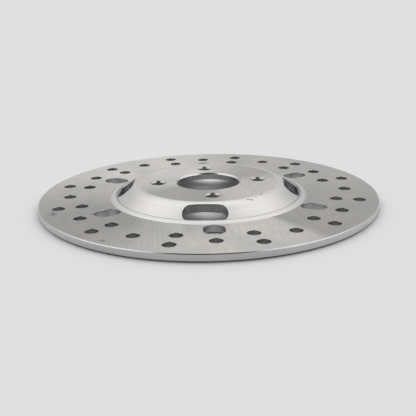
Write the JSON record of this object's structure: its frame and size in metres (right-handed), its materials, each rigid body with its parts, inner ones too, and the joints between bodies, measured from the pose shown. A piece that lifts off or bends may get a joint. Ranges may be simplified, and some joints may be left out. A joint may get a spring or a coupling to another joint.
{
  "type": "motorcycle brake disc",
  "caption": "Flat steel brake disc with a dished bolt-on hat, windows through its cone, and round and slotted holes through the friction band.",
  "frame": {"origin": "on the axle line, in the plane of the friction band's underside, which the disc lies on", "axes": "+Z along the axle, from the friction band towards the hat's plate; +X and +Y through the middles of two of the windows in the cone"},
  "size_m": [0.22, 0.22, 0.0125],
  "materials": {
    "disc_steel": "bare stainless steel: band and plate ground to a satin with fine circular marks, cone and lip turned brighter, hole walls darker"
  },
  "bodies": {
    "root": {"brake_disc": "disc_steel"}
  },
  "joints": []
}
